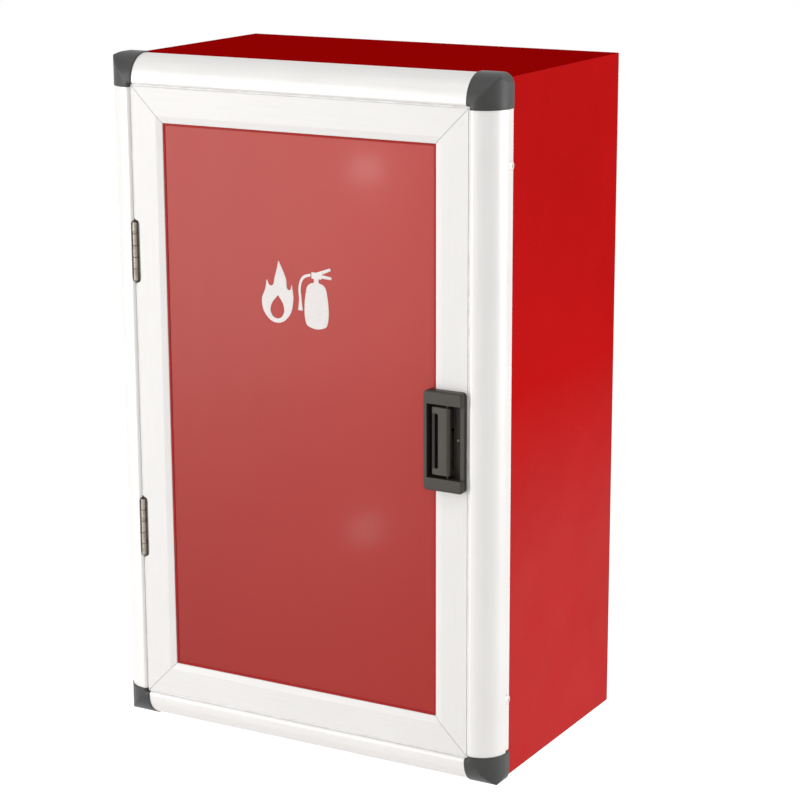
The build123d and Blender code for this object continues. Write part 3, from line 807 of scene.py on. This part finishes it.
class CABINET_OT_panel_gasket(bpy.types.Operator):
    """Add the gasket between the panel and the door's bevel"""

    bl_idname = "cabinet.panel_gasket"
    bl_label = "Panel Gasket"

    def execute(self, context):
        fittings = context.scene.cabinet_fittings
        red = tuple(context.scene.cabinet_finishes.panel_red)
        gasket = flat_ring(
            PANEL_EDGE_X, PANEL_EDGE_Z, PANEL_FACE_Y, fittings.gasket_width, fittings.gasket_height
        )
        low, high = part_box("lock_housing")
        tall = (high.z - low.z) * LATCH_GAP_SHARE
        cut_gap(gasket, (PANEL_EDGE_X, PANEL_FACE_Y, 0), (*LATCH_GAP, tall))
        settle(gasket, "panel_gasket", gasket_rubber("gasket_red_rubber", tinted(red, 0.85)), "door")
        return {"FINISHED"}


class CABINET_OT_edge_seal(bpy.types.Operator):
    """Add the white seal on the door's edge that fills most of the gap to the frame; its white, lifted
    above the profile's, is painted light where the gap would show shade
    """

    bl_idname = "cabinet.edge_seal"
    bl_label = "Edge Seal"

    def execute(self, context):
        fittings = context.scene.cabinet_fittings
        white = tuple(context.scene.cabinet_finishes.profile_white)
        width = fittings.edge_seal_width
        seal = flat_ring(
            DOOR_EDGE_X + width, DOOR_EDGE_Z + width, EDGE_SEAL_BACK_Y, width, fittings.edge_seal_depth
        )
        for level in ("upper", "lower"):
            low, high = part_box(f"{level}_hinge_pin")
            cut_gap(seal, (low + high) / 2, (*HINGE_GAP, high.z - low.z + HINGE_GAP_SPARE))
        # Painted light: the seal's white is lifted above the profile's so the gap reads pale, not shaded.
        rubber = gasket_rubber("seal_lit_white_rubber", tinted(white, 1.08), nicks=0.1)
        settle(seal, "door_edge_seal", rubber, "door")
        return {"FINISHED"}


def flat_ring(half_x, half_z, back_y, width, depth):
    """A rectangular ring of a given width that stands forwards from back_y, its front rounded."""
    deselect()
    bpy.ops.mesh.primitive_plane_add(size=1, location=(0, back_y, 0), rotation=(pi / 2, 0, 0))
    ring = bpy.context.object
    ring.scale = (2 * half_x, 2 * half_z, 1)
    bpy.ops.object.transform_apply(location=True, rotation=True, scale=True)
    bpy.ops.object.mode_set(mode="EDIT")
    bpy.ops.mesh.select_all(action="SELECT")
    bpy.ops.mesh.inset(thickness=width)
    bpy.ops.mesh.delete(type="FACE")
    bpy.ops.mesh.select_all(action="SELECT")
    bpy.ops.mesh.extrude_region_move(TRANSFORM_OT_translate={"value": (0, -depth, 0)})
    bpy.ops.mesh.select_all(action="SELECT")
    bpy.ops.mesh.normals_make_consistent(inside=False)
    pick_edges(ring, lambda start, end: front_border(start, end, back_y - depth))
    bpy.ops.mesh.bevel(offset=depth * FRONT_ROUNDING, segments=3)
    bpy.ops.object.mode_set(mode="OBJECT")
    return ring


def front_border(start, end, front_y):
    """Whether an edge borders a ring's front, leaving out the diagonals at its corners."""
    tiny = 0.00005
    straight = min(abs(start.x - end.x), abs(start.z - end.z)) < tiny
    return straight and max(start.y, end.y) < front_y + tiny


def cut_gap(piece, middle, size):
    """Cut a box-shaped gap out of a piece."""
    deselect()
    bpy.ops.mesh.primitive_cube_add(size=1, location=middle)
    gap = bpy.context.object
    gap.scale = size
    bpy.ops.object.transform_apply(location=False, rotation=False, scale=True)
    cut(piece, gap)


# The sign: outlines in millimetres from its middle, with True where the line is smooth

FLAME = [
    (-20.0, 29.0, False), (-12.5, 13.5, True), (-9.0, 2.5, True), (-6.0, 8.0, False),
    (-4.8, -8.0, True), (-10.5, -23.0, True), (-22.0, -29.0, True), (-33.5, -23.5, True),
    (-38.5, -10.0, True), (-34.5, 2.5, True), (-33.0, 10.5, False), (-28.5, 5.0, True), (-24.0, 14.5, True),
]
FLAME_HEART = [
    (-21.0, -3.0, False), (-15.0, -13.0, True), (-16.0, -21.5, True), (-22.0, -25.0, True),
    (-28.5, -21.0, True), (-28.5, -13.0, True),
]
BOTTLE = [
    (9.0, -26.5, True), (11.5, -29.0, True), (28.5, -29.0, True), (31.0, -26.5, True),
    (31.0, 3.0, True), (28.4, 9.4, True), (22.5, 12.0, False), (22.5, 15.5, False),
    (25.5, 15.5, False), (25.5, 16.6, False), (36.0, 16.0, False), (36.0, 18.4, False),
    (25.5, 19.8, False), (35.5, 24.4, False), (34.4, 26.6, False), (20.0, 21.4, False),
    (15.0, 21.4, False), (15.0, 15.5, False), (17.5, 15.5, False), (17.5, 12.0, False),
    (11.6, 9.4, True), (9.0, 3.0, True),
]
HOSE = [
    (14.0, 20.0, False), (6.0, 17.2, True), (1.8, 10.0, True), (1.6, -6.0, False), (0.4, -15.0, False),
    (5.4, -15.0, False), (4.2, -6.0, False), (4.2, 9.6, True), (7.6, 15.0, True), (14.0, 17.4, False),
]
SIGN_DRAWN_HEIGHT = 58.0


class CABINET_OT_sign(bpy.types.Operator):
    """Add a plain flame and extinguisher pictogram to the panel"""

    bl_idname = "cabinet.sign"
    bl_label = "Sign"

    def execute(self, context):
        fittings = context.scene.cabinet_fittings
        white = tuple(context.scene.cabinet_finishes.sign_white)
        deselect()
        bpy.ops.curve.primitive_bezier_circle_add(radius=1)
        sign = bpy.context.object
        outlines = sign.data
        outlines.dimensions = "2D"
        outlines.fill_mode = "BOTH"
        outlines.resolution_u = 10
        outlines.extrude = fittings.sign_thickness / 2
        outlines.splines.clear()
        scale = fittings.sign_height / SIGN_DRAWN_HEIGHT
        for points in (FLAME, FLAME_HEART, BOTTLE, HOSE):
            draw_outline(outlines, points, scale)
        bpy.ops.object.convert(target="MESH")
        sign = bpy.context.object
        sign.location = (0, PANEL_FACE_Y - fittings.sign_thickness / 2, fittings.sign_level)
        sign.rotation_euler = (pi / 2, 0, 0)
        settle(sign, "sign_pictogram", printed_film("sign_white_film", white), "door", smooth_angle=20.0)
        return {"FINISHED"}


def draw_outline(outlines, points, scale):
    """Add one closed outline to a flat curve."""
    spline = outlines.splines.new("BEZIER")
    spline.bezier_points.add(len(points) - 1)
    spline.use_cyclic_u = True
    for knot, (across, up, smooth) in zip(spline.bezier_points, points):
        knot.co = (across * scale, up * scale, 0)
        kind = "AUTO" if smooth else "VECTOR"
        knot.handle_left_type = kind
        knot.handle_right_type = kind


# Stage


# Each lamp's name, its place and side in metres, and its power in watts
LAMPS = [
    ("front_left_lamp", (-2.9, -2.9, 0.9), 1.6, 43.5),
    ("side_lamp", (3.6, 1.0, 0.5), 1.6, 60.0),
    ("top_lamp", (-0.3, -2.0, 3.2), 1.6, 18.0),
    ("panel_lamp", (-1.95, -3.05, -0.25), 1.2, 21.8),
    ("upper_glint_lamp", (-0.884, -1.888, -0.053), 0.025, 0.5),
    ("lower_glint_lamp", (-0.889, -1.888, -0.682), 0.025, 0.3),
]

# Floor: its side in metres, its grey, and how much it glows where it is seen, so that it shows white
FLOOR_SIDE = 40
FLOOR_GREY = (0.82, 0.82, 0.82, 1)
FLOOR_GLOW = 0.6
WHITE = (1, 1, 1, 1)


class CABINET_OT_stage(bpy.types.Operator):
    """Set the camera, the lamps, the pale floor and the white background"""

    bl_idname = "cabinet.stage"
    bl_label = "Stage"

    def execute(self, context):
        stage = context.scene.cabinet_stage
        set_camera(context.scene, stage)
        for name, where, size, power in LAMPS:
            add_lamp(name, where, size, power)
        set_world(context.scene, stage.room_light)
        add_floor(CAD_BOX[0].z - stage.floor_drop)
        context.scene.view_settings.view_transform = "Standard"
        return {"FINISHED"}


def set_camera(scene, stage):
    """The camera as it stood for the photograph."""
    camera_data = bpy.data.cameras.new("camera")
    camera_data.lens = stage.lens
    camera_data.sensor_width = 36.0
    camera = bpy.data.objects.new("camera", camera_data)
    scene.collection.objects.link(camera)
    turn = stage.camera_azimuth
    rise = stage.camera_elevation
    back = Vector((sin(turn) * cos(rise), -cos(turn) * cos(rise), sin(rise)))
    aim = (-back).to_track_quat("-Z", "Y").to_matrix().to_4x4()
    roll = Matrix.Rotation(stage.camera_roll, 4, "Z")
    camera.matrix_world = Matrix.Translation(Vector(stage.camera_place)) @ aim @ roll
    scene.camera = camera


def add_lamp(name, where, size, power):
    """A square soft lamp aimed at the cabinet."""
    lamp_data = bpy.data.lights.new(name, "AREA")
    lamp_data.shape = "SQUARE"
    lamp_data.size = size
    lamp_data.energy = power
    lamp = bpy.data.objects.new(name, lamp_data)
    bpy.context.scene.collection.objects.link(lamp)
    lamp.location = where
    middle = (CAD_BOX[0] + CAD_BOX[1]) / 2
    lamp.rotation_euler = (middle - Vector(where)).to_track_quat("-Z", "Y").to_euler()


def seen_directly(tree):
    """1 for what the camera sees, directly or in gloss or glass."""
    path = add_node(tree, "ShaderNodeLightPath").outputs
    seen = maths(tree, "MAXIMUM", path["Is Camera Ray"], path["Is Glossy Ray"])
    return maths(tree, "MAXIMUM", seen, path["Is Transmission Ray"])


def set_world(scene, strength):
    """White as a background, and an even room light on the object."""
    world = bpy.data.worlds.new("room")
    world.use_nodes = True
    scene.world = world
    tree = world.node_tree
    room = tree.nodes["Background"]
    room.inputs["Color"].default_value = WHITE
    room.inputs["Strength"].default_value = strength
    backdrop = add_node(tree, "ShaderNodeBackground", {"Color": WHITE, "Strength": 1.0})
    choice = add_node(
        tree, "ShaderNodeMixShader",
        {0: seen_directly(tree), 1: room.outputs[0], 2: backdrop.outputs[0]}
    )
    tree.links.new(choice.outputs[0], tree.nodes["World Output"].inputs["Surface"])


def add_floor(level):
    """A plain pale floor that shows white and keeps the shadow."""
    deselect()
    bpy.ops.mesh.primitive_plane_add(size=FLOOR_SIDE, location=(0, 0, level))
    floor = bpy.context.object
    floor.name = "floor"
    bpy.ops.object.transform_apply(location=True)
    material, tree, shader = start_material(
        "pale_floor", Base_Color=FLOOR_GREY, Roughness=0.9, Specular_IOR_Level=0.0
    )
    strength = maths(tree, "MULTIPLY", seen_directly(tree), FLOOR_GLOW)
    glow = add_node(tree, "ShaderNodeEmission", {"Color": WHITE, "Strength": strength})
    both = add_node(tree, "ShaderNodeAddShader", {0: shader.outputs[0], 1: glow.outputs[0]})
    tree.links.new(both.outputs[0], tree.nodes["Material Output"].inputs["Surface"])
    floor.data.materials.append(material)


class CABINET_PT_sidebar(bpy.types.Panel):
    """The cabinet's steps and settings"""

    bl_idname = "CABINET_PT_sidebar"
    bl_label = "Extinguisher Cabinet"
    bl_space_type = "VIEW_3D"
    bl_region_type = "UI"
    bl_category = "Cabinet"

    def draw(self, context):
        layout = self.layout
        for operator in OPERATORS:
            layout.operator(operator.bl_idname)
        for group_name, group_class in GROUPS.items():
            column = layout.column(align=True)
            for name in group_class.__annotations__:
                column.prop(getattr(context.scene, group_name), name)


GROUPS = {
    "cabinet_finishes": CabinetFinishes,
    "cabinet_fittings": CabinetFittings,
    "cabinet_stage": CabinetStage,
}
OPERATORS = (
    CABINET_OT_finish_metal,
    CABINET_OT_finish_mouldings,
    CABINET_OT_flange_screws,
    CABINET_OT_hinge_screws,
    CABINET_OT_latch_screw,
    CABINET_OT_panel_gasket,
    CABINET_OT_edge_seal,
    CABINET_OT_sign,
    CABINET_OT_stage,
)


def register():
    """Register the groups, the operators and the panel."""
    for group_name, group_class in GROUPS.items():
        bpy.utils.register_class(group_class)
        setattr(bpy.types.Scene, group_name, PointerProperty(type=group_class))
    for operator in OPERATORS:
        bpy.utils.register_class(operator)
    bpy.utils.register_class(CABINET_PT_sidebar)


def unregister():
    """Take out all that register added."""
    bpy.utils.unregister_class(CABINET_PT_sidebar)
    for operator in reversed(OPERATORS):
        bpy.utils.unregister_class(operator)
    for group_name, group_class in GROUPS.items():
        delattr(bpy.types.Scene, group_name)
        bpy.utils.unregister_class(group_class)


def main():
    """Build everything in order."""
    register()
    bpy.ops.cabinet.finish_metal()
    bpy.ops.cabinet.finish_mouldings()
    bpy.ops.cabinet.flange_screws()
    bpy.ops.cabinet.hinge_screws()
    bpy.ops.cabinet.latch_screw()
    bpy.ops.cabinet.panel_gasket()
    bpy.ops.cabinet.edge_seal()
    bpy.ops.cabinet.sign()
    bpy.ops.cabinet.stage()


if __name__ == "__main__":
    main()
